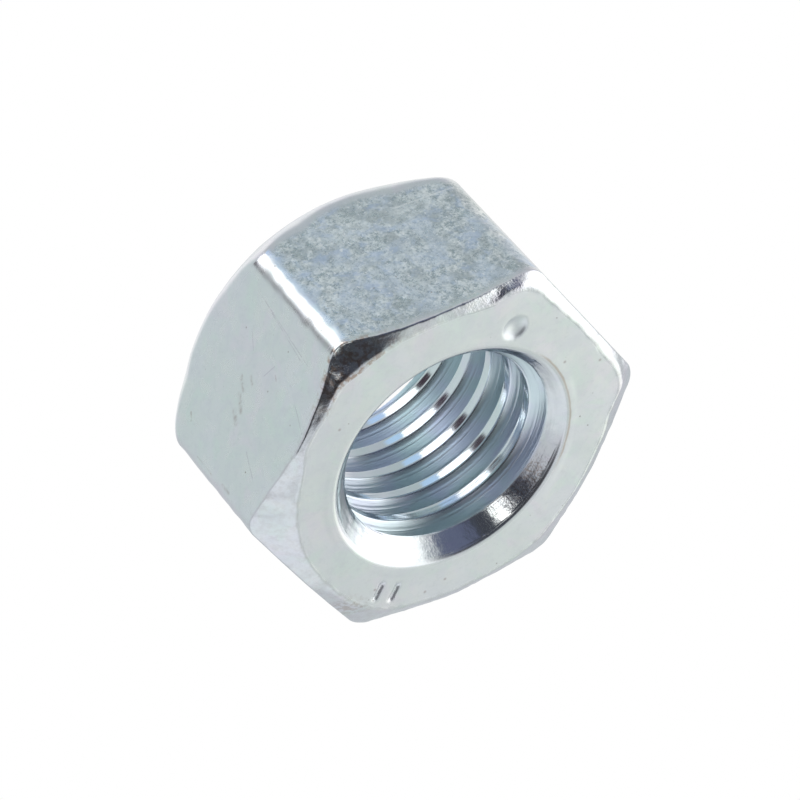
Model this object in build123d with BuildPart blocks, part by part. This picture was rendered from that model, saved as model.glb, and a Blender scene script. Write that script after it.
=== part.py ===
from build123d import *
from build123d.topology import SkipClean
import math
import os

os.makedirs("parts", exist_ok=True)

# Hex nut, M12 coarse thread, cold-forged steel, bright zinc plated.
# Frame: +Z along the thread axis, +X through one corner of the hexagon,
# origin at the centre of the lower bearing face.  All sizes in mm.

# ---- driving dimensions -------------------------------------------------
across_flats = 18.0          # s, spanner size
height = 10.5                # m, bearing face to bearing face
corner_radius = 1.33         # forged radius on the six vertical edges

top_face_dia = 17.0          # flat ring left by the upper chamfer
top_chamfer_deg = 27.6       # upper chamfer, measured from the face
bottom_face_dia = 16.65      # flat ring left by the lower chamfer
bottom_chamfer_deg = 46.0    # lower chamfer, steeper than the upper one

pitch = 1.75                 # M12 coarse
major_dia = 12.0             # thread root in the nut
minor_dia = 10.3             # thread crest in the nut (6H is 10.106 to 10.441)
flank_deg = 30.0             # half of the 60 degree thread angle
thread_phase_z = 1.280       # height of a groove centre at the +X corner

groove_start_deg = 40.0      # where each turn of the groove begins
bore_seam_deg = 17.0         # first of the six joins in the bore wall

countersink_dia = 12.4       # mouth of the upper countersink
countersink_deg = 45.0       # its flank, measured from the face
lower_countersink_dia = 12.1 # mouth of the lower, shallower countersink
lower_countersink_deg = 30.0 # its flank, measured from the face

dimple_dia = 1.30            # round punch mark on the upper face
dimple_depth = 0.16
dimple_r, dimple_phi = 7.34, -60.0
bar_length, bar_width, bar_depth = 1.20, 0.34, 0.14
bar_gap = 0.95               # spacing of the two parallel bar marks
bar_r, bar_phi = 7.72, 119.5

# ---- derived --------------------------------------------------------------
s2 = across_flats / 2
outer = 11.0                 # past every corner, used for the turned envelope
bottom_rise = (outer - bottom_face_dia / 2) * math.tan(math.radians(bottom_chamfer_deg))
top_drop = (outer - top_face_dia / 2) * math.tan(math.radians(top_chamfer_deg))
cs_run = 1.6                 # depth of the countersink cutter
cs_inner = countersink_dia / 2 - cs_run / math.tan(math.radians(countersink_deg))
cs_over = 0.5                # how far the cutter stands above the face
cs_outer = countersink_dia / 2 + cs_over / math.tan(math.radians(countersink_deg))
low_run = 0.9                # depth of the lower countersink cutter
low_inner = lower_countersink_dia / 2 - low_run / math.tan(math.radians(lower_countersink_deg))
low_outer = lower_countersink_dia / 2 + cs_over / math.tan(math.radians(lower_countersink_deg))


def groove_half_width(r):
    """Half width of the thread groove at radius r: P/16 at the root, opening at 30 degrees."""
    return pitch / 16 + (major_dia / 2 - r) * math.tan(math.radians(flank_deg))


# outline of the tapping bore: a circle drawn as six arcs, so that its wall is six faces
bore_outline = Face(
    Wire(
        [
            Edge.make_circle(
                minor_dia / 2, Plane.XY.offset(-1.0), bore_seam_deg + 60 * i, bore_seam_deg + 60 * (i + 1)
            )
            for i in range(6)
        ]
    )
)

# one turn of the thread groove: its axial section swept along the helix
r_in = minor_dia / 2 - 0.12
r_out = major_dia / 2
with BuildPart() as groove_turn:
    with BuildLine():
        turn_helix = Helix(pitch=pitch, height=pitch, radius=minor_dia / 2)
    with BuildSketch(Plane(origin=turn_helix @ 0, x_dir=(1, 0, 0), z_dir=(0, 1, 0))):
        with BuildLine():
            Polyline(
                (r_in - minor_dia / 2, -groove_half_width(r_in)),
                (r_out - minor_dia / 2, -groove_half_width(r_out)),
                (r_out - minor_dia / 2, groove_half_width(r_out)),
                (r_in - minor_dia / 2, groove_half_width(r_in)),
                close=True,
            )
        make_face()
    sweep(path=turn_helix, is_frenet=True)

# the whole groove: eight turns end to end, from below the lower face to above the upper one
with SkipClean():
    with BuildPart() as groove:
        with Locations(
            *[
                Location(
                    (0, 0, thread_phase_z + pitch * (k - 1 + groove_start_deg / 360)),
                    (0, 0, groove_start_deg),
                )
                for k in range(8)
            ]
        ):
            add(groove_turn.part)

with BuildPart() as hex_nut:
    # forged hexagonal blank, corner on +X, with rounded vertical edges
    with BuildSketch(Plane.XY):
        RegularPolygon(radius=s2, side_count=6, major_radius=False)
    extrude(amount=height)
    fillet(hex_nut.edges().filter_by(Axis.Z), radius=corner_radius)

    # turned envelope: lower chamfer and upper chamfer in one revolved profile
    with BuildSketch(Plane.XZ):
        with BuildLine():
            Polyline(
                (0, 0),
                (bottom_face_dia / 2, 0),
                (outer, bottom_rise),
                (outer, height - top_drop),
                (top_face_dia / 2, height),
                (0, height),
                close=True,
            )
        make_face()
    revolve(axis=Axis.Z, mode=Mode.INTERSECT)

    # generic punch marks on the upper face: one round dimple, two parallel bars
    with Locations(
        Location(
            (
                dimple_r * math.cos(math.radians(dimple_phi)),
                dimple_r * math.sin(math.radians(dimple_phi)),
                height - dimple_depth / 2 + 0.05,
            )
        )
    ):
        Cone(
            bottom_radius=dimple_dia / 2 * 0.55,
            top_radius=dimple_dia / 2 * 1.1,
            height=dimple_depth + 0.1,
            mode=Mode.SUBTRACT,
        )
    bar_c, bar_s = math.cos(math.radians(bar_phi)), math.sin(math.radians(bar_phi))
    for side in (-bar_gap / 2, bar_gap / 2):
        with Locations(
            Location(
                (
                    bar_r * bar_c - side * bar_s,
                    bar_r * bar_s + side * bar_c,
                    height - bar_depth / 2 + 0.05,
                ),
                (0, 0, bar_phi),
            )
        ):
            Box(bar_length, bar_width, bar_depth + 0.1, mode=Mode.SUBTRACT)

    with SkipClean():  # the six arcs of the bore wall stay separate faces through every cut
        # tapping bore at the minor diameter
        extrude(bore_outline, amount=height + 2.0, dir=(0, 0, 1), mode=Mode.SUBTRACT, clean=False)

        # countersinks at both ends of the bore
        with BuildSketch(Plane.XZ):
            with BuildLine():
                Polyline(
                    (0, height - cs_run),
                    (cs_inner, height - cs_run),
                    (cs_outer, height + cs_over),
                    (0, height + cs_over),
                    close=True,
                )
            make_face()
        revolve(axis=Axis.Z, mode=Mode.SUBTRACT, clean=False)
        with BuildSketch(Plane.XZ):
            with BuildLine():
                Polyline(
                    (0, low_run),
                    (low_inner, low_run),
                    (low_outer, -cs_over),
                    (0, -cs_over),
                    close=True,
                )
            make_face()
        revolve(axis=Axis.Z, mode=Mode.SUBTRACT, clean=False)

        # right-hand thread: the helical groove is cut away and leaves flat crests
        add(groove.part, mode=Mode.SUBTRACT, clean=False)

hex_nut.part.label = "hex_nut"
export_step(hex_nut.part, "parts/hex_nut.step")
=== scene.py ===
import bpy
import bmesh
import math
import numpy as np
from mathutils import Matrix


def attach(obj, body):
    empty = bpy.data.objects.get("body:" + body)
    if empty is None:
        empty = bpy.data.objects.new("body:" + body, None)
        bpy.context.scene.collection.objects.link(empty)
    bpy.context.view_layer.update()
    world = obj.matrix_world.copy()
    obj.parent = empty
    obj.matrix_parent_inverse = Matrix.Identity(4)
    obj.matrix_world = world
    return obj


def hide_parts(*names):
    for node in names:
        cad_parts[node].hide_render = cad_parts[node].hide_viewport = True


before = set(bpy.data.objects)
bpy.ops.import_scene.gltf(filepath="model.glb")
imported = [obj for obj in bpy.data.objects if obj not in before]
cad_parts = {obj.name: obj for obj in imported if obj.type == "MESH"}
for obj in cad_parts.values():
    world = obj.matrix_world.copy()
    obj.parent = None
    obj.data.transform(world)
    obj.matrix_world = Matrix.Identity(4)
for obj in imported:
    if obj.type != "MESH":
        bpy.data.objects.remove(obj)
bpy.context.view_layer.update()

MM = 0.001
RAD = math.radians

# ---------------------------------------------------------------- dimensions, mm
S2 = 9.0                      # half across flats
H = 10.5                      # height
RC = 1.33                     # vertical edge radius
R_TOP, A_TOP = 8.5, RAD(27.6)
R_BOT, A_BOT = 8.325, RAD(46.0)
PITCH, R_ROOT, R_CREST = 1.75, 6.0, 5.15
Z_GROOVE = 1.280              # groove centre at the +X corner
R_CS = 6.2                    # upper countersink mouth radius, 45 degree flank
R_CSL = 6.05                  # lower countersink mouth radius, flank 30 degrees from the face
RUN_L = math.sqrt(3.0)        # its radius lost per mm of depth
T_FLANK = math.tan(RAD(30.0))
LIP = 0.12                    # rounding at the countersink's mouth
LIP_L = 0.05


# ---------------------------------------------------------------- smooth seeded noise
def waves(p, lo, hi, n, seed):
    """Sum of plane sine waves with wavelengths lo..hi mm, about unit variance."""
    rng = np.random.default_rng(seed)
    out = np.zeros(p.shape[:-1])
    for _ in range(n):
        d = rng.normal(size=3)
        d /= np.linalg.norm(d)
        lam = math.exp(rng.uniform(math.log(lo), math.log(hi)))
        out += np.sin(p @ d * (2 * math.pi / lam) + rng.uniform(0, 2 * math.pi))
    return out * math.sqrt(2.0 / n)


def smooth(x, a, b):
    t = np.clip((x - a) / (b - a), 0, 1)
    return t * t * (3 - 2 * t)


def turn(a, b):
    """Signed difference of two angles in degrees."""
    return (a - b + 180.0) % 360.0 - 180.0


def bump_at(deg, centre, left, right):
    """Smooth bump, 1 at centre, fading over left and right degrees."""
    d = turn(deg, centre)
    w = np.where(d < 0, left, right)
    return np.exp(-((d / w) ** 2) * 2.2)


# ---------------------------------------------------------------- columns round the axis
fine = np.linspace(-9.0, 9.0, 31)
coarse = np.linspace(9.0, 51.0, 33)[1:-1]
deg = []
for c in range(6):
    deg += list(60 * c + fine) + list(60 * c + coarse)
DEG = np.array(sorted(deg))
PHI = np.radians(DEG)
NJ = len(PHI)


def rho_hex(phi, rc):
    """Polar radius of a hexagon with rounded corners, one corner on +X."""
    p = (phi + math.pi / 6) % (math.pi / 3) - math.pi / 6
    c = (S2 - rc) / math.cos(math.pi / 6)
    lim = np.arctan2(rc * 0.5, c + rc * math.cos(math.pi / 6))
    flat = S2 / np.cos(math.pi / 6 - np.abs(p))
    arc = c * np.cos(p) + np.sqrt(np.maximum(rc * rc - (c * np.sin(p)) ** 2, 0))
    return np.where(np.abs(p) < lim, arc, flat)


# ---------------------------------------------------------------- bore: rows that follow the helix
half = [0.0, 0.05, 0.10, 0.15, 0.22, 0.30, 0.38, 0.46, 0.54, 0.605, 0.645, 0.73]
ROWS = np.array(sorted([-x for x in half[1:]] + half))   # offsets from the groove centre
NP = len(ROWS)


def thread_r(dz):
    """Hole radius against the offset from the groove centre, with eased edges."""
    a = np.abs(dz)
    r = R_ROOT - (a - PITCH / 16) / T_FLANK
    k = 0.05
    r = -k * np.log(np.exp(-np.clip(r, 0, 9) / k) + np.exp(-R_ROOT / k))       # soft minimum
    k = 0.02
    r = k * np.log(np.exp(r / k - 300) + np.exp(R_CREST / k - 300)) + 300 * k  # soft maximum
    return r


rng = np.random.default_rng(11)
turns = int(math.ceil(H / PITCH)) + 3
rows_dz = np.concatenate([ROWS for _ in range(turns)])
rows_off = np.concatenate([ROWS + PITCH * t for t in range(turns)])
rows_r = thread_r(rows_dz)
mark = rng.normal(size=NP)
rows_mark = np.concatenate([mark * 0.8 + rng.normal(size=NP) * 0.5 for _ in range(turns)])
rows_mark *= np.where(np.abs(rows_dz) > 0.59, 0.0015, 0.006)
K = len(rows_off)
start = Z_GROOVE - PITCH * 3
Zb = start + rows_off[:, None] + PITCH * (PHI[None, :] / (2 * math.pi))
assert Zb[0].max() < 0 and Zb[-1].min() > H
Rb = np.repeat(rows_r[:, None], NJ, axis=1)
Db = np.repeat(rows_dz[:, None], NJ, axis=1)


def cone_at(z):
    return np.maximum(R_CS + (z - H), R_CSL - RUN_L * z)


d = Rb - cone_at(Zb)
on_line = np.zeros((K, NJ), bool)
for k in range(K - 1):
    cross = (d[k] * d[k + 1] < 0) & (Zb[k] > -0.3) & (Zb[k + 1] < H + 0.3)
    if not cross.any():
        continue
    t = d[k] / (d[k] - d[k + 1] + 1e-12)
    zc = Zb[k] + t * (Zb[k + 1] - Zb[k])
    rc_ = Rb[k] + t * (Rb[k + 1] - Rb[k])
    lowr, higr = cross & (t < 0.5), cross & (t >= 0.5)
    Zb[k][lowr], Rb[k][lowr] = zc[lowr], rc_[lowr]
    Zb[k + 1][higr], Rb[k + 1][higr] = zc[higr], rc_[higr]
    on_line[k][lowr] = True
    on_line[k + 1][higr] = True
cone = cone_at(Zb)
in_cone = smooth(cone - Rb, -0.005, 0.02)
Rb = np.maximum(Rb, cone)
hi_cl = Zb >= H - LIP - 0.010
lo_cl = Zb <= LIP_L + 0.004
inside = ~(hi_cl | lo_cl)

grid = lambda z: np.stack([np.cos(PHI)[None] * Rb, np.sin(PHI)[None] * Rb, z], -1)
wb = waves(grid(Zb), 0.5, 2.2, 24, 31)
Rb = Rb + rows_mark[:, None] * (1 - in_cone) * (0.6 + 0.4 * wb)
cone_rings = 0.0035 * np.sin(Zb * 2 * math.pi / 0.16) + 0.005 * wb
fade = smooth(Zb, H - LIP, H - LIP - 0.1) * (Zb > 2)
Rb = Rb + cone_rings * in_cone * fade

# ---------------------------------------------------------------- outside: one filleted profile per column
C_, S_ = np.cos(PHI), np.sin(PHI)
ring = np.stack([C_ * 10, S_ * 10, np.zeros(NJ)], -1)


def bez(p, q, r, n):
    t = np.linspace(0, 1, n)[:, None, None]
    return (1 - t) ** 2 * p + 2 * t * (1 - t) * q + t * t * r


def line(p, q, n):
    """n points strictly between p and q."""
    t = (np.arange(1, n + 1) / (n + 1))[:, None, None]
    return p + (q - p) * t


def unit(v):
    return v / np.linalg.norm(v, axis=-1, keepdims=True)


def fillet_pts(a, b, c, radius, n):
    """Points rounding corner b between its neighbours a and c."""
    u, w = unit(a - b), unit(c - b)
    cosang = np.clip((u * w).sum(-1), -1, 1)
    T = np.broadcast_to(radius, (NJ,)) * np.tan((math.pi - np.arccos(cosang)) / 2)
    lim = 0.46 * np.minimum(np.linalg.norm(a - b, axis=-1), np.linalg.norm(c - b, axis=-1))
    T = np.minimum(T, lim)
    return bez(b + u * T[:, None], b, b + w * T[:, None], n)




def around(table):
    """Value by angle, from (degrees, value) pairs, smooth and periodic."""
    t = sorted((a % 360.0, v) for a, v in table)
    xs = np.array([t[-1][0] - 360] + [p[0] for p in t] + [t[0][0] + 360])
    ys = np.array([t[-1][1]] + [p[1] for p in t] + [t[0][1]])
    fine_ = np.arange(0, 360, 0.5)
    y = np.interp(fine_, xs, ys)
    k_ = np.exp(-0.5 * (np.arange(-8, 9) / 2.6) ** 2)
    k_ /= k_.sum()
    y = np.convolve(np.concatenate([y[-8:], y, y[:8]]), k_, mode="valid")
    return np.interp(DEG % 360.0, np.append(fine_, 360.0), np.append(y, y[0]))


# the upper face is not a true circle: it runs out towards three of the corners
FACE_R = around([
    (0, 8.93), (3, 9.0), (7, 9.25), (10, 9.0), (16, 8.62), (21, 8.62), (30, 8.66), (38, 8.42), (44, 8.3),
    (55, 8.35), (69, 8.35), (87, 8.30), (100, 8.50), (110, 8.7), (120, 8.8), (130, 8.7), (150, 8.5), (170, 8.6),
    (180, 8.8), (190, 8.6), (210, 8.5), (230, 8.7), (240, 9.35), (247, 9.25), (257, 8.74), (270, 8.60),
    (284, 8.78), (292, 9.2), (299.4, 9.66), (305, 9.55), (309, 9.15), (312, 8.68), (319, 8.48), (328, 8.52),
    (338, 8.60), (347, 8.73), (356, 8.86)])
EDGE_Z = around([
    (0, 9.70), (3.3, 9.76), (8.7, 10.05), (14, 10.24), (23, 10.36), (27, 10.40), (32, 10.36), (38, 10.18),
    (47, 9.84), (56, 9.50), (60, 9.42), (64, 9.5), (75, 9.95), (90, 10.24), (105, 10.0), (116, 9.66), (120, 9.60),
    (124, 9.66), (135, 10.0), (150, 10.24), (165, 10.05), (176, 9.76), (180, 9.72), (184, 9.76), (195, 10.06),
    (210, 10.26), (225, 10.14), (236, 9.92), (240, 9.86), (244, 9.95), (255, 10.22), (270, 10.36), (285, 10.25),
    (296, 10.02), (300, 9.94), (305, 10.06), (313, 10.28), (322, 10.41), (330, 10.43), (338, 10.40),
    (344, 10.32), (350, 10.17), (354, 9.97), (358, 9.76)])
wob_face = 0.016 * waves(ring, 0.7, 2.4, 26, 21) + 0.012 * waves(ring, 3.0, 7.0, 12, 22)
wob_edge = 0.008 * waves(ring, 0.35, 1.3, 30, 25) + 0.008 * waves(ring, 1.5, 4.0, 16, 26)
wob_bot = 0.03 * waves(ring, 1.2, 4.0, 24, 23)
rho = rho_hex(PHI, RC)
r_face = np.minimum(FACE_R + wob_face, rho - 0.12)
zt = np.minimum(EDGE_Z + wob_edge, H - 0.05)
zb = (rho - R_BOT) * math.tan(A_BOT) + wob_bot
PL = np.stack([np.full(NJ, R_CS - LIP), np.full(NJ, H - LIP)], -1)
PM = np.stack([np.full(NJ, R_CS), np.full(NJ, H)], -1)
P0 = np.stack([np.full(NJ, R_CS + 1.2 * LIP), np.full(NJ, H)], -1)
P1 = np.stack([r_face, np.full(NJ, H)], -1)
P2 = np.stack([rho, zt], -1)
P3 = np.stack([rho, zb], -1)
P4 = np.stack([R_BOT + 0.5 * wob_bot, np.zeros(NJ)], -1)
P5 = np.stack([np.full(NJ, R_CSL + 0.1), np.zeros(NJ)], -1)
PN = np.stack([np.full(NJ, R_CSL), np.zeros(NJ)], -1)
PK = np.stack([np.full(NJ, R_CSL - RUN_L * LIP_L), np.full(NJ, LIP_L)], -1)

corner = np.abs(turn(DEG, np.round(DEG / 60) * 60)) / 30.0        # 0 at a corner, 1 mid flat
F1 = fillet_pts(P0, P1, P2, 0.45 + 0.25 * bump_at(DEG, 0.0, 10.0, 12.0), 6)
F2 = fillet_pts(P1, P2, P3, 0.16, 5)
F3 = fillet_pts(P2, P3, P4, 1.0 + 1.6 * smooth(corner, 0.1, 0.9), 9)
F4 = fillet_pts(P3, P4, P5, 0.7, 5)
parts_ = [
    (bez(PL, PM, P0, 6), 9), (line(P0, F1[0], 25), 0), (F1, 1), (line(F1[-1], F2[0], 5), 2), (F2, 3),
    (line(F2[-1], F3[0], 38), 4), (F3, 5), (line(F3[-1], F4[0], 3), 6), (F4, 7),
    (line(F4[-1], P5, 6), 8), (bez(P5, PN, PK, 5), 9),
]
prof = np.concatenate([p for p, _ in parts_], 0)
row_zone = np.concatenate([np.full(p.shape[0], z) for p, z in parts_])
NR = prof.shape[0]
Ro, Zo = prof[..., 0].copy(), prof[..., 1].copy()
fuller = rho_hex(PHI, 1.55) - rho_hex(PHI, RC)
at_a = (np.abs(turn(DEG, 0)) < 12).astype(float)
Ro += (row_zone == 4)[:, None] * smooth(Zo, 3.0, 9.6) * (fuller * at_a)[None]
last_side = np.where(row_zone == 4)[0][0]
Ro[np.where(row_zone == 3)[0]] += (fuller * at_a)[None] * smooth(Zo[last_side], 3.0, 9.6)[None]
Xo = np.stack([Ro * C_, Ro * S_, Zo], -1)

# ---------------------------------------------------------------- relief left by forging and tumbling
seq = np.where(row_zone == 4)[0]
ramp = np.zeros(NR)
ramp[seq] = np.minimum(smooth(seq - seq[0], -1, 1.0), smooth(seq[-1] - seq, -1, 0.6))
flat_rows = ramp[:, None] * np.ones(NJ)
ab = smooth(30.0 - np.abs(turn(DEG, 330.0)), 2.2, 4.0)
side = flat_rows * smooth(corner, 0.06, 0.12)[None]
relief = 0.010 * waves(Xo, 3.0, 8.0, 14, 41) + 0.0035 * waves(Xo, 0.9, 2.4, 26, 42)
relief_ab = 0.0065 * waves(Xo, 0.42, 1.3, 60, 43)
drop = side * (np.abs(relief) * 0.5 + ab[None] * (relief_ab + 0.013))
# one dent near the lower edge of the left flat
dent = np.exp(-((Xo[..., 0] - 5.42) ** 2 / 0.22 ** 2 + (Xo[..., 1] - 8.58) ** 2 / 0.22 ** 2 + (Zo - 4.9) ** 2 / 0.7 ** 2))
drop = np.maximum(drop, 0)
edge_band = (1 - smooth(corner, 0.16, 0.26))[None] * flat_rows
drop = drop + edge_band * (0.010 + 0.008 * waves(Xo, 0.5, 1.8, 30, 44))
drop = np.maximum(drop, 0) + 0.05 * dent
torn = np.isin(row_zone, (1, 2, 3))[:, None] * bump_at(DEG, 311.0, 9.0, 7.0)[None]
Xo[..., 2] -= torn * np.maximum(0.014 + 0.014 * waves(Xo, 0.35, 1.1, 40, 46), 0)
scar = np.isin(row_zone, (1, 2, 3))[:, None] * np.ones(NJ)
Xo[..., 2] -= scar * np.maximum(0.006 + 0.006 * waves(Xo, 0.4, 1.2, 40, 47), 0)
Xo[..., 0] -= drop * C_
Xo[..., 1] -= drop * S_

# face: faint waviness, with the dimple and the two bars
on_face = (row_zone == 0)[:, None] * np.ones(NJ)
sink = on_face * np.maximum(0.004 + 0.003 * waves(Xo, 1.5, 5.0, 24, 45), 0) * smooth(Ro, 6.6, 6.9)
cx, cy = 7.34 * math.cos(RAD(-60)), 7.34 * math.sin(RAD(-60))
rad = np.hypot(Xo[..., 0] - cx, Xo[..., 1] - cy) / 0.65
sink = sink + (row_zone <= 1)[:, None] * 0.16 * np.clip(1 - rad ** 2, 0, 1) ** 0.8
ux, uy = math.cos(RAD(119.5)), math.sin(RAD(119.5))
along = Xo[..., 0] * ux + Xo[..., 1] * uy - 7.72
across = -Xo[..., 0] * uy + Xo[..., 1] * ux
for side_of in (-0.475, 0.475):
    bar = smooth(0.60 - np.abs(along), 0.0, 0.22) * smooth(0.19 - np.abs(across - side_of), 0.0, 0.14)
    sink = sink + (row_zone <= 1)[:, None] * 0.10 * bar


# ---------------------------------------------------------------- vertices and faces
Xb = np.stack([Rb * C_, Rb * S_, Zb], -1)
Xo[..., 2] -= sink
id_o = np.arange(NR * NJ).reshape(NR, NJ)
id_b = np.full((K, NJ), -1)
id_b[inside] = NR * NJ + np.arange(int(inside.sum()))
id_b[hi_cl] = np.broadcast_to(id_o[0], (K, NJ))[hi_cl]
id_b[lo_cl] = np.broadcast_to(id_o[-1], (K, NJ))[lo_cl]
co = np.concatenate([Xo.reshape(-1, 3), Xb[inside]], 0)

# profile coordinate of every vertex for the texture layout: u round the axis, v along the profile
seg = np.linalg.norm(np.diff(prof, axis=0), axis=-1).mean(1)
v_out = np.concatenate([[0], np.cumsum(seg)])
TOTAL = v_out[-1] + H + 2.0

quads, uvs = [], []
j = np.arange(NJ)
j1 = (j + 1) % NJ
u_a = DEG / 360.0 + 9.0 / 360.0
u_b = np.where(j1 == 0, 1.0, u_a[j1])
q = np.stack([id_o[:-1][:, j], id_o[1:][:, j], id_o[1:][:, j1], id_o[:-1][:, j1]], -1)
quads.append(q.reshape(-1, 4))
va, vb = v_out[:-1, None] / TOTAL, v_out[1:, None] / TOTAL
z0 = np.zeros((NR - 1, NJ))
uvs.append(np.stack([
    np.stack([u_a[None] + z0, va + z0], -1), np.stack([u_a[None] + z0, vb + z0], -1),
    np.stack([u_b[None] + z0, vb + z0], -1), np.stack([u_b[None] + z0, va + z0], -1)], 2).reshape(-1, 4, 2))


def v_bore(z, r):
    return (v_out[-1] + 0.5 + np.clip(z, 0, H) + 0.35 * (r - R_CREST)) / TOTAL


Zc = np.clip(Zb, 0, H)
Vb = v_bore(Zc, Rb)
ia = id_b
q = np.stack([ia[:-1, :-1], ia[1:, :-1], ia[1:, 1:], ia[:-1, 1:]], -1).reshape(-1, 4)
ua = np.repeat(u_a[None, :-1], K - 1, 0)
ub = np.repeat(u_a[None, 1:], K - 1, 0)
quads.append(q)
uvs.append(np.stack([
    np.stack([ua, Vb[:-1, :-1]], -1), np.stack([ua, Vb[1:, :-1]], -1),
    np.stack([ub, Vb[1:, 1:]], -1), np.stack([ub, Vb[:-1, 1:]], -1)], 2).reshape(-1, 4, 2))
# the seam: the last column meets the first one pitch further up the helix
kk = np.arange(K - 1)
up = np.minimum(kk + NP, K - 1)
up_n = np.minimum(kk + 1 + NP, K - 1)
top_id = id_o[0, 0]
s0 = np.where(kk + NP < K, ia[up, 0], top_id)
s1 = np.where(kk + 1 + NP < K, ia[up_n, 0], top_id)
q = np.stack([ia[:-1, -1], ia[1:, -1], s1, s0], -1)
one = np.ones(K - 1)
quads.append(q)
uvs.append(np.stack([
    np.stack([one * u_a[-1], Vb[:-1, -1]], -1), np.stack([one * u_a[-1], Vb[1:, -1]], -1),
    np.stack([one, Vb[up_n, 0]], -1), np.stack([one, Vb[up, 0]], -1)], 1))

# a quad crossed by that line is split along it
line_v = np.zeros(len(co), bool)
ids = id_b[on_line & inside]
line_v[ids] = True

faces, face_uv = [], []
for q, w in zip(quads, uvs):
    ok = (q[:, 0] != q[:, 1]) & (q[:, 1] != q[:, 2]) & (q[:, 2] != q[:, 3]) & (q[:, 3] != q[:, 0])
    ok &= (q[:, 0] != q[:, 2]) & (q[:, 1] != q[:, 3])
    m02 = ok & line_v[q[:, 0]] & line_v[q[:, 2]] & ~(line_v[q[:, 1]] & line_v[q[:, 3]])
    m13 = ok & line_v[q[:, 1]] & line_v[q[:, 3]] & ~(line_v[q[:, 0]] & line_v[q[:, 2]])
    for msk, tri_a, tri_b in ((m02, (0, 1, 2), (0, 2, 3)), (m13, (0, 1, 3), (1, 2, 3))):
        for tri in (tri_a, tri_b):
            faces += [tuple(f) for f in q[msk][:, list(tri)].tolist()]
            face_uv += w[msk][:, list(tri)].tolist()
    plain = ok & ~m02 & ~m13
    faces += [tuple(f) for f in q[plain].tolist()]
    face_uv += w[plain].tolist()
    for f, t in zip(q[~ok].tolist(), w[~ok].tolist()):
        g, h = [], []
        for x, y in zip(f, t):
            if x not in g:
                g.append(x)
                h.append(y)
        if len(g) == 3:
            faces.append(tuple(g))
            face_uv.append(h)

mesh = bpy.data.meshes.new("hex_nut_body")
mesh.from_pydata([tuple(v) for v in co * MM], [], faces)
layer = mesh.uv_layers.new(name="OFBake")
layer.data.foreach_set("uv", [x for f in face_uv for p in f for x in p])


# ---------------------------------------------------------------- masks the material reads
def attribute(name, outer, bore):
    a = mesh.attributes.new(name, "FLOAT", "POINT")
    a.data.foreach_set("value", np.concatenate([outer.ravel(), bore[inside].ravel()]).astype(np.float32))


one_o, zero_b = np.ones((NR, NJ)), np.zeros((K, NJ))
attribute("is_face", on_face, zero_b)
towards_b = np.where(turn(DEG, 330.0) < 0, smooth(turn(DEG, 300.0), -2.8, -1.2), ab)
attribute("is_mottled", flat_rows * (towards_b * (np.abs(turn(DEG, 330.0)) < 34))[None], zero_b)
attribute("is_side", flat_rows * one_o, zero_b)
attribute("is_chamfer", np.isin(row_zone, (1, 2, 3))[:, None] * one_o, zero_b)
attribute("is_cone", np.zeros((NR, NJ)), in_cone)
attribute("is_thread", np.zeros((NR, NJ)), 1 - in_cone)
attribute("is_lip", (row_zone == 9)[:, None] * one_o, zero_b)
attribute("is_round", np.isin(row_zone, (5, 6, 7))[:, None] * one_o, zero_b)
attribute("is_crest", np.zeros((NR, NJ)), smooth(np.abs(Db), 0.57, 0.62) * (1 - in_cone))

bm = bmesh.new()
bm.from_mesh(mesh)
bmesh.ops.delete(bm, geom=[v for v in bm.verts if not v.link_faces], context="VERTS")
bad = sum(1 for e in bm.edges if len(e.link_faces) != 2)
vol = bm.calc_volume(signed=True) * 1e9
tris = sum(len(f.verts) - 2 for f in bm.faces)
print("MESH verts", len(bm.verts), "tris", tris, "open edges", bad, "volume", round(vol, 2))
bm.to_mesh(mesh)
bm.free()
mesh.shade_smooth()
mesh.set_sharp_from_angle(angle=RAD(36))
nut = bpy.data.objects.new("hex_nut_body", mesh)
bpy.context.scene.collection.objects.link(nut)
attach(nut, "root")
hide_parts("hex_nut")

# ---------------------------------------------------------------- zinc plating
mat = bpy.data.materials.new("zinc_plated_steel_look")
mat.use_nodes = True
mt = mat.node_tree
bsdf = mt.nodes["Principled BSDF"]


def node(kind, **kw):
    n = mt.nodes.new(kind)
    for k, v in kw.items():
        setattr(n, k, v)
    return n


def put(socket, value):
    if hasattr(value, "is_linked") or isinstance(value, bpy.types.NodeSocket):
        mt.links.new(value, socket)
    else:
        socket.default_value = value


def math_(op, a, b=0.0, c=0.0, clamp=False):
    n = node("ShaderNodeMath", operation=op, use_clamp=clamp)
    put(n.inputs[0], a)
    put(n.inputs[1], b)
    if op in ("MULTIPLY_ADD", "COMPARE"):
        put(n.inputs[2], c)
    return n.outputs[0]


def mul(a, b):
    return math_("MULTIPLY", a, b)


def add(a, b):
    return math_("ADD", a, b)


def attr(name):
    return node("ShaderNodeAttribute", attribute_name=name).outputs["Fac"]


def noise(scale, detail=2.0, rough=0.5, distortion=0.0, vec=None):
    n = node("ShaderNodeTexNoise")
    put(n.inputs["Vector"], vec if vec is not None else P_MM)
    put(n.inputs["Scale"], scale)
    put(n.inputs["Detail"], detail)
    put(n.inputs["Roughness"], rough)
    put(n.inputs["Distortion"], distortion)
    return n.outputs["Fac"]


def steps(value, lo_, hi_, a=0.0, b=1.0):
    """Smooth step of a value from a to b as it goes from lo_ to hi_."""
    n = node("ShaderNodeMapRange", interpolation_type="SMOOTHSTEP")
    put(n.inputs["Value"], value)
    for k, v in zip(("From Min", "From Max", "To Min", "To Max"), (lo_, hi_, a, b)):
        put(n.inputs[k], v)
    return n.outputs[0]


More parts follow.
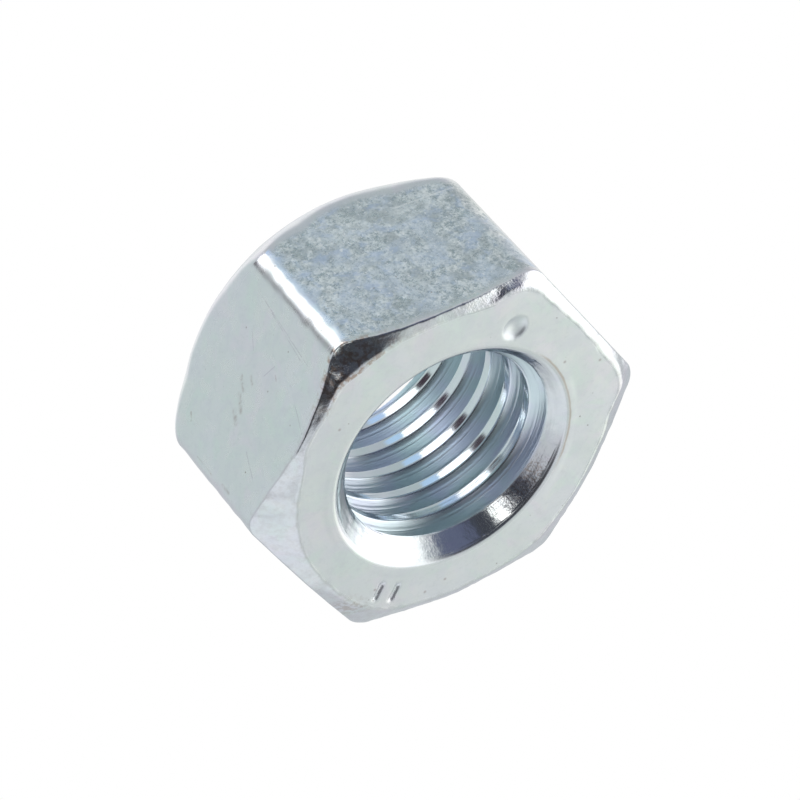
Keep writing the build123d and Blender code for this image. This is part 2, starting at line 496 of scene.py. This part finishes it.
def mixc(fac, a, b, kind="MIX"):
    n = node("ShaderNodeMix", data_type="RGBA", blend_type=kind)
    put(n.inputs[0], fac)
    put(n.inputs[6], (*a, 1) if isinstance(a, tuple) else a)
    put(n.inputs[7], (*b, 1) if isinstance(b, tuple) else b)
    return n.outputs[2]


tco = node("ShaderNodeTexCoord")
sc = node("ShaderNodeVectorMath", operation="SCALE")
mt.links.new(tco.outputs["Object"], sc.inputs[0])
sc.inputs["Scale"].default_value = 1000.0
P_MM = sc.outputs[0]
xyz = node("ShaderNodeSeparateXYZ")
mt.links.new(P_MM, xyz.inputs[0])
X_, Y_, Z_ = xyz.outputs
radius = math_("SQRT", add(mul(X_, X_), mul(Y_, Y_)))
angle = math_("ARCTAN2", Y_, X_)


def spot(x, y, z, r0, r1):
    """1 near a point of the surface, fading from r0 to r1 mm away."""
    d_ = node("ShaderNodeVectorMath", operation="DISTANCE")
    mt.links.new(P_MM, d_.inputs[0])
    d_.inputs[1].default_value = (x, y, z)
    return steps(d_.outputs["Value"], r0, r1, 1.0, 0.0)


def seg(a, b_, w0, w1):
    """1 near a straight stroke of the surface, fading from w0 to w1 mm off it."""
    a, b_ = np.array(a, float), np.array(b_, float)
    ab_ = b_ - a
    sub = node("ShaderNodeVectorMath", operation="SUBTRACT")
    mt.links.new(P_MM, sub.inputs[0])
    sub.inputs[1].default_value = tuple(a)
    dot = node("ShaderNodeVectorMath", operation="DOT_PRODUCT")
    mt.links.new(sub.outputs[0], dot.inputs[0])
    dot.inputs[1].default_value = tuple(ab_ / (ab_ @ ab_))
    h_ = math_("ADD", dot.outputs["Value"], 0.0, clamp=True)
    foot = node("ShaderNodeVectorMath", operation="SCALE")
    foot.inputs[0].default_value = tuple(ab_)
    mt.links.new(h_, foot.inputs["Scale"])
    far = node("ShaderNodeVectorMath", operation="DISTANCE")
    mt.links.new(sub.outputs[0], far.inputs[0])
    mt.links.new(foot.outputs[0], far.inputs[1])
    return steps(far.outputs["Value"], w0, w1, 1.0, 0.0)


is_face, is_mot, is_side = attr("is_face"), attr("is_mottled"), attr("is_side")
is_cham, is_cone, is_thr, is_crest = attr("is_chamfer"), attr("is_cone"), attr("is_thread"), attr("is_crest")

n_big = noise(0.28, 2.0, 0.55, 0.4)
n_mid = noise(1.1, 3.0, 0.6, 0.3)
n_spk = noise(3.2, 4.0, 0.62)
n_fin = noise(8.5, 3.0, 0.6)

# colour: bare zinc, tinted here and there by the thin passivation film
n_til = noise(0.55, 2.0, 0.5, 0.6)
col = mixc(steps(n_big, 0.38, 0.62), (0.725, 0.765, 0.770), (0.745, 0.765, 0.800))
col = mixc(mul(steps(n_til, 0.52, 0.68), 0.65), col, (0.70, 0.785, 0.755))
col = mixc(mul(steps(n_til, 0.46, 0.32), 0.60), col, (0.775, 0.745, 0.810))
col = mixc(mul(steps(n_spk, 0.50, 0.70), 0.38), col, (0.65, 0.68, 0.70))
col = mixc(mul(steps(n_mid, 0.50, 0.66), 0.38), col, (0.685, 0.705, 0.755))
col = mixc(mul(steps(n_mid, 0.48, 0.34), 0.30), col, (0.80, 0.815, 0.80))
# sawn-like mottled flat; it also carries a painted highlight band near its back edge and painted glints
m_a = noise(3.6, 5.0, 0.70, 0.35)
m_b = noise(8.0, 4.0, 0.65)
m_c = noise(0.9, 3.0, 0.6, 0.5)
m_mix = add(mul(m_a, 0.62), mul(m_b, 0.38))
mot = mixc(steps(m_mix, 0.37, 0.62), (0.41, 0.48, 0.50), (0.94, 0.97, 0.96))
# painted highlight: a lighter band along the flat's back edge, standing in for the sheen there
painted_edge_sheen = mul(seg((8.6, -3.1, 3.0), (6.3, -7.1, 3.1), 0.1, 1.0), 0.40)
mot = mixc(painted_edge_sheen, mot, (0.86, 0.90, 0.90))
mot = mixc(mul(steps(m_c, 0.56, 0.36), 0.62), mot, (0.43, 0.48, 0.49))
mot = mixc(mul(steps(noise(0.45, 2.0, 0.5, 0.8), 0.48, 0.66), 0.45), mot, (0.70, 0.78, 0.88))
blue = mul(steps(n_mid, 0.50, 0.70), 0.55)
mot = mixc(blue, mot, (0.56, 0.66, 0.83))
green = mul(steps(n_mid, 0.46, 0.32), 0.25)
mot = mixc(green, mot, (0.60, 0.68, 0.66))
# painted highlights: small white glints sprinkled over the mottled flat
painted_sparkle = mul(steps(noise(5.5, 3.0, 0.7, 0.2), 0.59, 0.69), 0.85)
mot = mixc(painted_sparkle, mot, (0.97, 0.98, 0.98))
col = mixc(is_mot, col, mot)
# speckled chamfer, browner towards corner A: partly a real brown tint, partly painted shade deepening the dark
# reflection at A
brown_tint_and_shade = mul(spot(9.3, 0.3, 10.1, 0.5, 3.6), 0.70)
col = mixc(mul(is_cham, mul(steps(n_spk, 0.42, 0.60), add(brown_tint_and_shade, 0.08))), col, (0.46, 0.34, 0.27))
# threads: bluish green film, violet in places
thr = mixc(steps(n_big, 0.42, 0.60), (0.69, 0.82, 0.85), (0.73, 0.79, 0.91))
col = mixc(mul(is_thr, add(mul(is_crest, -0.45), 0.85)), col, thr)
# dark brown blotches in the countersink, on one side of it
cone_brown_blotch = mul(is_cone, mul(spot(-5.6, -1.8, 10.0, 0.5, 1.8), steps(n_fin, 0.45, 0.60)))
col = mixc(mul(cone_brown_blotch, 0.60), col, (0.40, 0.31, 0.26))
# specks of dirt and tiny pits
vor = node("ShaderNodeTexVoronoi", feature="F1")
mt.links.new(P_MM, vor.inputs["Vector"])
vor.inputs["Scale"].default_value = 1.5
vor.inputs["Randomness"].default_value = 1.0
pit = steps(vor.outputs["Distance"], 0.035, 0.10, 1.0, 0.0)
keep = steps(noise(0.9, 1.0), 0.53, 0.60)
pit = mul(mul(pit, keep), add(is_face, is_side))
col = mixc(mul(pit, 0.65), col, (0.30, 0.27, 0.25))
# stains: round the mouth, at the far corner, and small smudges on one flat
ring_d = math_("ABSOLUTE", math_("SUBTRACT", radius, add(6.40, mul(math_("SUBTRACT", n_mid, 0.5), 0.14))))
ring_s = mul(steps(ring_d, 0.03, 0.13, 1.0, 0.0), steps(X_, 1.5, 0.2))
ring_s = mul(mul(ring_s, steps(Y_, -2.6, -4.2)), is_face)
col = mixc(mul(ring_s, 0.75), col, (0.47, 0.40, 0.34))
stain = mul(spot(-3.0, 8.6, 10.4, 0.3, 1.3), steps(n_spk, 0.42, 0.60))
col = mixc(mul(stain, 0.50), col, (0.47, 0.41, 0.35))
# handling marks: smudges and fine scratches on the plain flat and the face
smudge = 0.0
for a, b_, w in (
    ((7.86, 4.38, 4.80), (7.66, 4.73, 5.30), 0.20), ((8.06, 4.03, 5.40), (7.96, 4.21, 5.70), 0.15),
    ((7.50, 5.01, 5.20), (7.22, 5.50, 5.75), 0.22), ((7.08, 5.74, 5.35), (6.90, 6.05, 5.80), 0.24),
    ((5.44, 8.56, 6.70), (5.44, 8.56, 7.30), 0.16), ((5.36, 8.62, 4.25), (5.34, 8.64, 5.70), 0.09),
    ((6.10, 7.43, 2.60), (5.95, 7.69, 2.85), 0.10), ((8.60, 3.10, 6.90), (8.52, 3.24, 7.10), 0.07),
):
    smudge = math_("MAXIMUM", smudge, seg(a, b_, 0.01, w))
smudge = mul(smudge, steps(noise(2.4, 4.0, 0.7, 0.8), 0.38, 0.62, 0.10, 1.0))
for x, y in ((-2.14, -8.16), (-0.50, -6.91), (-3.10, 7.00), (-6.07, 4.38), (-5.75, 5.48), (-3.35, 8.02), (6.9, 2.6)):
    smudge = math_("MAXIMUM", smudge, spot(x, y, 10.5, 0.03, 0.12))
col = mixc(mul(smudge, 0.46), col, (0.38, 0.31, 0.29))
scratch = 0.0
for a, b_ in (
    ((8.75, 2.85, 8.07), (8.11, 3.95, 10.2)), ((9.74, 1.13, 4.1), (9.45, 1.63, 8.6)), ((9.66, 1.27, 4.9), (9.40, 1.72, 8.0)),
    ((8.96, 2.49, 4.10), (8.59, 3.12, 4.80)), ((8.35, 3.54, 6.2), (8.75, 2.84, 6.6)), ((6.6, 6.57, 7.3), (6.2, 7.26, 8.6)),
):
    scratch = math_("MAXIMUM", scratch, seg(a, b_, 0.004, 0.040))
scratch = mul(scratch, steps(noise(1.8, 3.0, 0.6), 0.38, 0.55, 0.15, 1.0))
col = mixc(mul(scratch, 0.38), col, (0.42, 0.38, 0.46))
# painted highlights: a white line along the back edge of the mottled flat and a few white spots, standing in for
# glints
painted_glint = seg((6.86, -6.12, 2.78), (5.42, -8.62, 2.95), 0.015, 0.075)
for x, y, z in ((8.99, -2.43, 3.23), (7.15, -5.61, 4.52), (5.24, -8.90, 5.33), (5.36, -8.72, 6.0), (9.6, -1.4, 9.6)):
    painted_glint = math_("MAXIMUM", painted_glint, spot(x, y, z, 0.05, 0.16))
painted_glint = mul(painted_glint, steps(n_fin, 0.34, 0.52, 0.3, 1.0))
col = mixc(mul(painted_glint, 0.75), col, (0.97, 0.98, 0.97))
mt.links.new(col, bsdf.inputs["Base Color"])

# roughness
rgh = add(0.215, mul(math_("SUBTRACT", n_mid, 0.5), 0.12))
rgh = add(rgh, mul(is_face, 0.09))
rgh = add(rgh, mul(is_side, 0.07))
rgh = add(rgh, mul(is_mot, mul(math_("SUBTRACT", m_mix, 0.45), 0.35)))
rgh = add(rgh, mul(is_cone, -0.08))
rgh = add(rgh, mul(is_thr, 0.12))
rgh = add(rgh, mul(is_cone, mul(spot(2.4, 5.3, 10.0, 0.8, 2.8), 0.20)))
rgh = add(rgh, mul(is_crest, -0.24))
rgh = add(rgh, mul(is_cham, -0.03))
rgh = add(rgh, mul(math_("MAXIMUM", pit, smudge), 0.2))
rgh = math_("MAXIMUM", rgh, 0.07)
mt.links.new(rgh, bsdf.inputs["Roughness"])

# relief, in mm: grain everywhere, orange peel on the mottled flat, tap marks along the thread, rings in the cone
hgt = mul(n_fin, 0.0012)
hgt = add(hgt, mul(is_mot, add(mul(m_a, 0.015), mul(m_b, 0.007))))
hgt = add(hgt, mul(is_cham, mul(mul(n_spk, 0.012), steps(Y_, 6.0, 3.0, 0.3, 1.0))))
rough_b = mul(is_cham, spot(6.2, -6.7, 10.2, 1.0, 2.7))
hgt = add(hgt, mul(rough_b, mul(n_fin, 0.020)))
hgt = add(hgt, mul(is_face, mul(n_spk, 0.0016)))
helix = math_("SUBTRACT", mul(Z_, 2 * math.pi / PITCH), angle)
tap = 0.0
for k_, ph, am in ((7, 0.4, 0.0040), (11, 2.1, 0.0030), (16, 4.4, 0.0022), (23, 1.0, 0.0018), (31, 5.2, 0.0014), (41, 3.3, 0.0010), (57, 0.9, 0.0007)):
    tap = add(tap, mul(math_("SINE", math_("MULTIPLY_ADD", helix, float(k_), ph)), am))
tap = mul(tap, steps(n_big, 0.30, 0.62, 0.35, 1.0))
tap = mul(tap, add(0.9, mul(is_crest, -0.75)))
hgt = add(hgt, mul(is_thr, tap))
rings = 0.0
for k_, ph, am in ((19.0, 0.3, 0.0008), (33.0, 2.7, 0.0005), (61.0, 4.0, 0.0003)):
    rings = add(rings, mul(math_("SINE", math_("MULTIPLY_ADD", radius, k_, ph)), am))
hgt = add(hgt, mul(is_cone, rings))
hgt = add(hgt, mul(is_cone, add(mul(n_spk, 0.009), mul(n_fin, 0.002))))
hgt = math_("SUBTRACT", hgt, mul(math_("MAXIMUM", pit, scratch), 0.004))
bump = node("ShaderNodeBump")
bump.inputs["Strength"].default_value = 1.0
bump.inputs["Distance"].default_value = 0.001
mt.links.new(hgt, bump.inputs["Height"])
mt.links.new(bump.outputs["Normal"], bsdf.inputs["Normal"])
bsdf.inputs["Metallic"].default_value = 1.0
mesh.materials.append(mat)

# ---------------------------------------------------------------- floor
fm = bpy.data.meshes.new("floor")
e_ = 3.0
fm.from_pydata([(-e_, -e_, 0), (e_, -e_, 0), (e_, e_, 0), (-e_, e_, 0)], [], [(0, 1, 2, 3)])
floor = bpy.data.objects.new("floor", fm)
bpy.context.scene.collection.objects.link(floor)
floor.location = (0, 0, -0.00005)
fmat = bpy.data.materials.new("floor_white")
fmat.use_nodes = True
nt = fmat.node_tree
nt.nodes.clear()
out = nt.nodes.new("ShaderNodeOutputMaterial")
em = nt.nodes.new("ShaderNodeEmission")
em.inputs["Color"].default_value = (1, 1, 1, 1)
em.inputs["Strength"].default_value = 1.0
# seen from above only, so that the nut's underside can be looked at too
geo = nt.nodes.new("ShaderNodeNewGeometry")
clear = nt.nodes.new("ShaderNodeBsdfTransparent")
either = nt.nodes.new("ShaderNodeMixShader")
nt.links.new(geo.outputs["Backfacing"], either.inputs[0])
nt.links.new(em.outputs[0], either.inputs[1])
nt.links.new(clear.outputs[0], either.inputs[2])
nt.links.new(either.outputs[0], out.inputs[0])
fm.materials.append(fmat)
floor.visible_glossy = False
floor.visible_diffuse = False
floor.visible_shadow = False

# ---------------------------------------------------------------- studio: soft boxes painted on the world by direction
world = bpy.data.worlds.new("studio")
bpy.context.scene.world = world
world.use_nodes = True
wt = world.node_tree
bg = wt.nodes["Background"]
tc = wt.nodes.new("ShaderNodeTexCoord")


def wnode(kind, **kw):
    n = wt.nodes.new(kind)
    for k, v in kw.items():
        setattr(n, k, v)
    return n


def lobe(direction, inner, outer, colour):
    """Soft round light: colour inside the inner angle, nothing past the outer one (degrees)."""
    v = np.array(direction, float)
    v /= np.linalg.norm(v)
    dot = wnode("ShaderNodeVectorMath", operation="DOT_PRODUCT")
    wt.links.new(tc.outputs["Generated"], dot.inputs[0])
    dot.inputs[1].default_value = tuple(v)
    mr = wnode("ShaderNodeMapRange", interpolation_type="SMOOTHSTEP")
    wt.links.new(dot.outputs["Value"], mr.inputs["Value"])
    mr.inputs["From Min"].default_value = math.cos(RAD(outer))
    mr.inputs["From Max"].default_value = math.cos(RAD(inner))
    return mr.outputs[0], colour


STUDIO = [
    # direction, full inside, gone past (degrees), colour
    ((-0.15, 0.10, -0.98), 16, 40, (1.00, 1.01, 1.01)),     # under sheet
    ((-0.60, -0.46, -0.65), 10, 28, (0.95, 0.95, 0.93)),    # low card behind the right edge
    ((0.29, 0.70, -0.65), 16, 42, (0.68, 0.74, 0.745)),     # left card
    ((0.46, -0.60, -0.65), 12, 30, (0.53, 0.575, 0.59)),    # top card
    ((0.61, -0.44, -0.656), 6, 10, (0.55, 0.74, 1.00)),     # sky-blue edge of the strip light
    ((0.82, -0.06, -0.56), 15, 19, (2.4, 2.4, 2.4)),        # strip light, upper left
    ((0.66, 0.37, -0.65), 5.5, 10, (0.07, 0.05, 0.065)),     # gap beside it
    ((-0.75, 0.10, 0.65), 20, 42, (0.655, 0.69, 0.685)),    # table, lower right
    ((-0.80, -0.28, 0.53), 4, 24, (1.22, 1.25, 1.17)),      # its brighter side
    ((-0.42, 0.67, 0.61), 14, 36, (0.88, 0.91, 0.95)),      # below
    ((-0.48, -0.74, 0.47), 24, 42, (1.55, 1.55, 1.55)),     # right box
    ((0.50, -0.15, 0.855), 31, 47, (0.056, 0.061, 0.078)),   # camera side
    ((0.13, 0.40, 0.91), 12, 26, (0.05, 0.05, 0.055)),      # its darker shoulder
    ((0.40, -0.60, 0.70), 7, 20, (0.135, 0.154, 0.24)),      # bluish reflection beside the camera
    ((0.640, 0.00, 0.768), 4.0, 8.5, (2.0, 2.0, 1.95)),     # small window
]
cur = None
base = wnode("ShaderNodeRGB")
base.outputs[0].default_value = (0.62, 0.64, 0.67, 1)
cur = base.outputs[0]
for direction, inner, outer, colour in STUDIO:
    fac, colour = lobe(direction, inner, outer, colour)
    mix = wnode("ShaderNodeMix", data_type="RGBA")
    wt.links.new(fac, mix.inputs[0])
    wt.links.new(cur, mix.inputs[6])
    mix.inputs[7].default_value = (*colour, 1)
    cur = mix.outputs[2]
# the studio lights the nut, and the backdrop itself is plain white
lp = wnode("ShaderNodeLightPath")
plain_bg = wnode("ShaderNodeMix", data_type="RGBA")
wt.links.new(lp.outputs["Is Camera Ray"], plain_bg.inputs[0])
wt.links.new(cur, plain_bg.inputs[6])
plain_bg.inputs[7].default_value = (1, 1, 1, 1)
wt.links.new(plain_bg.outputs[2], bg.inputs["Color"])
bg.inputs["Strength"].default_value = 1.0

# ---------------------------------------------------------------- camera
cam = bpy.data.cameras.new("camera")
cam.lens = 203.7516
cam.sensor_width = 36.0
cam.clip_start = 0.01
cam.clip_end = 10
cam_o = bpy.data.objects.new("camera", cam)
bpy.context.scene.collection.objects.link(cam_o)
cam_o.matrix_world = Matrix([
    [-0.47646708, 0.45836308, 0.7502549, 0.16070992],
    [-0.72631597, -0.68606958, -0.0421146, -0.00900011],
    [0.49542328, -0.56498834, 0.65980599, 0.1469586],
    [0.0, 0.0, 0.0, 1.0],
])
bpy.context.scene.camera = cam_o
bpy.context.scene.view_settings.view_transform = "Standard"
